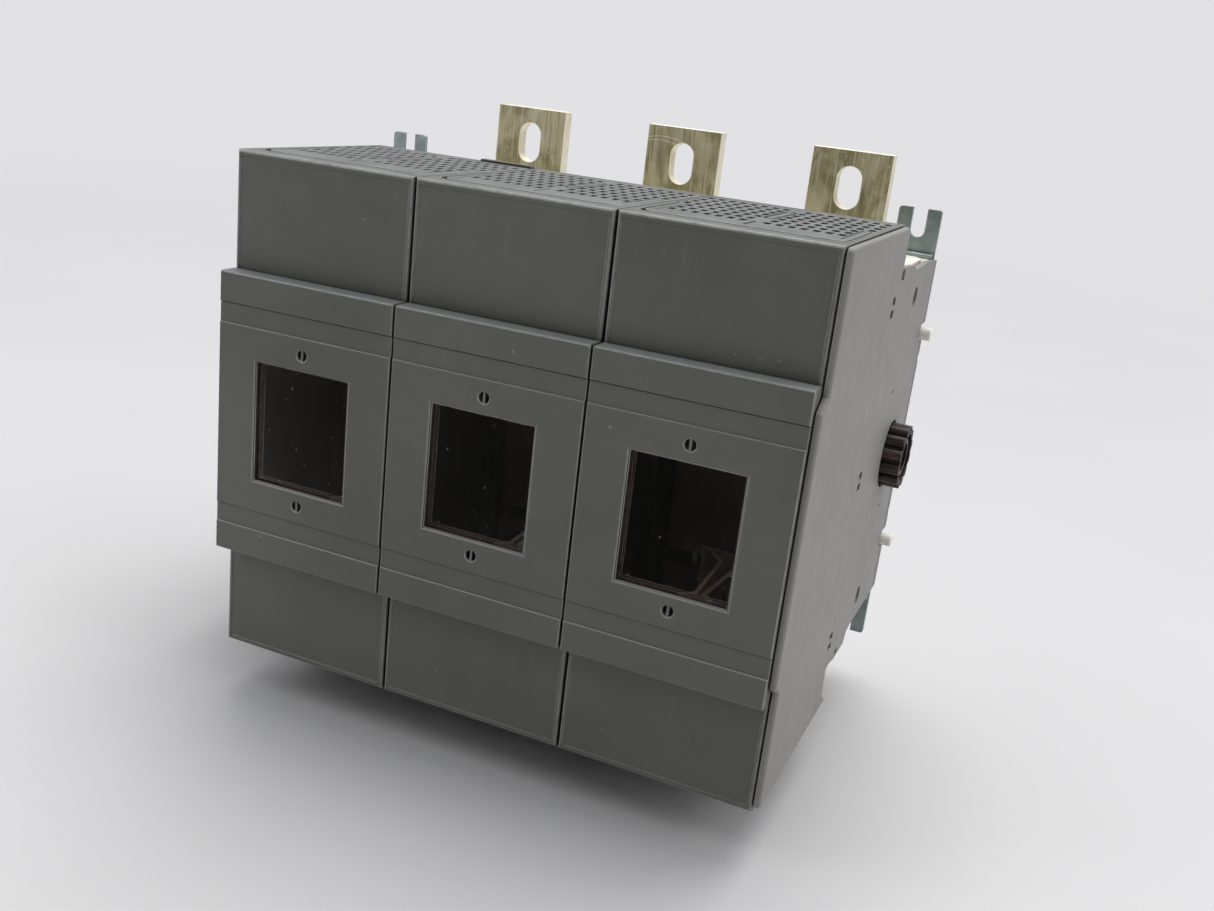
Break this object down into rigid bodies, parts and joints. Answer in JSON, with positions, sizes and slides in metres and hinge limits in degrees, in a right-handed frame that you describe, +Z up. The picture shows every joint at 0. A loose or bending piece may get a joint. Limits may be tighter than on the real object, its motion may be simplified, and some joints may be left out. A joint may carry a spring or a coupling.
{
  "type": "switch disconnector fuse",
  "caption": "Front-operated fused disconnect switch in a dark grey moulded case, with hinged windowed fuse doors, vent grilles, slotted copper terminals and fork mounting brackets.",
  "frame": {"origin": "centre of the four mounting slots, on the rear mounting plane", "axes": "+X to the right across the poles seen from the front, +Y into the mounting panel, +Z up"},
  "size_m": [0.41, 0.269, 0.3466],
  "materials": {
    "cover_grey": "fine spark-eroded dark grey moulding",
    "window_smoke": "smoked clear polycarbonate",
    "grille_grey": "fine-grained dark grey moulding",
    "base_cream": "cream glass-filled polyester",
    "panel_brown": "dark brown phenolic",
    "jaw_copper": "silver-plated spring copper",
    "terminal_copper": "tarnished plated copper bar",
    "rotor_phenolic": "brown phenolic",
    "contact_copper": "silver-plated copper",
    "arc_steel": "plated sheet steel",
    "spring_steel": "bright spring steel",
    "pin_steel": "ground steel",
    "shaft_steel": "drawn steel",
    "coupling_phenolic": "dark brown phenolic",
    "end_plate_grey": "mid grey moulding",
    "peg_white": "off-white nylon",
    "zinc_steel": "bluish zinc plate",
    "mech_grey": "fine-grained dark grey moulding",
    "gear_steel": "machined steel",
    "indicator_plastic": "moulded flag"
  },
  "bodies": {
    "case": {"front_cover_1": "cover_grey", "top_grille_1": "grille_grey", "bottom_grille_1": "grille_grey", "pole_base_1": "base_cream", "fuse_bay_panel_1": "panel_brown", "upper_fuse_jaw_1": "jaw_copper", "lower_fuse_jaw_1": "jaw_copper", "line_terminal_1": "terminal_copper", "load_terminal_1": "terminal_copper", "arc_plates_1": "arc_steel", "front_cover_2": "cover_grey", "top_grille_2": "grille_grey", "bottom_grille_2": "grille_grey", "pole_base_2": "base_cream", "fuse_bay_panel_2": "panel_brown", "upper_fuse_jaw_2": "jaw_copper", "lower_fuse_jaw_2": "jaw_copper", "line_terminal_2": "terminal_copper", "load_terminal_2": "terminal_copper", "arc_plates_2": "arc_steel", "front_cover_3": "cover_grey", "top_grille_3": "grille_grey", "bottom_grille_3": "grille_grey", "pole_base_3": "base_cream", "fuse_bay_panel_3": "panel_brown", "upper_fuse_jaw_3": "jaw_copper", "lower_fuse_jaw_3": "jaw_copper", "line_terminal_3": "terminal_copper", "load_terminal_3": "terminal_copper", "arc_plates_3": "arc_steel", "jaw_springs": "spring_steel", "upper_spring": "spring_steel", "lower_spring": "spring_steel", "door_hinge_pins": "pin_steel", "tie_bolts": "shaft_steel", "right_end_plate": "end_plate_grey", "connector_pegs": "peg_white", "mount_brackets": "zinc_steel", "case_screws": "zinc_steel", "mechanism_housing": "mech_grey", "mechanism_cover": "mech_grey"},
    "door_1": {"fuse_door_1": "cover_grey", "door_window_1": "window_smoke"},
    "door_2": {"fuse_door_2": "cover_grey", "door_window_2": "window_smoke"},
    "door_3": {"fuse_door_3": "cover_grey", "door_window_3": "window_smoke"},
    "shaft_group": {"main_shaft": "shaft_steel", "shaft_coupling": "coupling_phenolic", "shaft_pinion": "gear_steel", "contact_rotor_1": "rotor_phenolic", "contact_rotor_2": "rotor_phenolic", "contact_rotor_3": "rotor_phenolic", "contact_blades_1": "contact_copper", "contact_blades_2": "contact_copper", "contact_blades_3": "contact_copper"},
    "hub": {"handle_hub": "gear_steel"},
    "slide": {"drive_slide": "gear_steel", "position_indicator": "indicator_plastic"}
  },
  "joints": [
    {"name": "fuse_door_1_hinge", "type": "hinge", "parent": "case", "child": "door_1", "pos_m": [-0.078, -0.2635, -0.075], "axis": [1, 0, 0], "range_deg": [0, 95]},
    {"name": "fuse_door_2_hinge", "type": "hinge", "parent": "case", "child": "door_2", "pos_m": [0.032, -0.2635, -0.075], "axis": [1, 0, 0], "range_deg": [0, 95]},
    {"name": "fuse_door_3_hinge", "type": "hinge", "parent": "case", "child": "door_3", "pos_m": [0.142, -0.2635, -0.075], "axis": [1, 0, 0], "range_deg": [0, 95]},
    {"name": "main_shaft_turn", "type": "hinge", "parent": "case", "child": "shaft_group", "pos_m": [0, -0.057, 0], "axis": [-1, 0, 0], "range_deg": [0, 45]},
    {"name": "handle_turn", "type": "hinge", "parent": "case", "child": "hub", "pos_m": [-0.166, -0.12, 0], "axis": [0, 1, 0], "range_deg": [0, 90]},
    {"name": "drive_slide_travel", "type": "slide", "parent": "case", "child": "slide", "axis": [0, 0, 1], "range_m": [0, 0.01571], "deforming": ["upper_spring", "lower_spring"]}
  ],
  "couplings": [
    {"joint": "handle_turn", "follows": "main_shaft_turn", "ratio": 2},
    {"joint": "drive_slide_travel", "follows": "main_shaft_turn", "m_per_rad": 0.02}
  ]
}
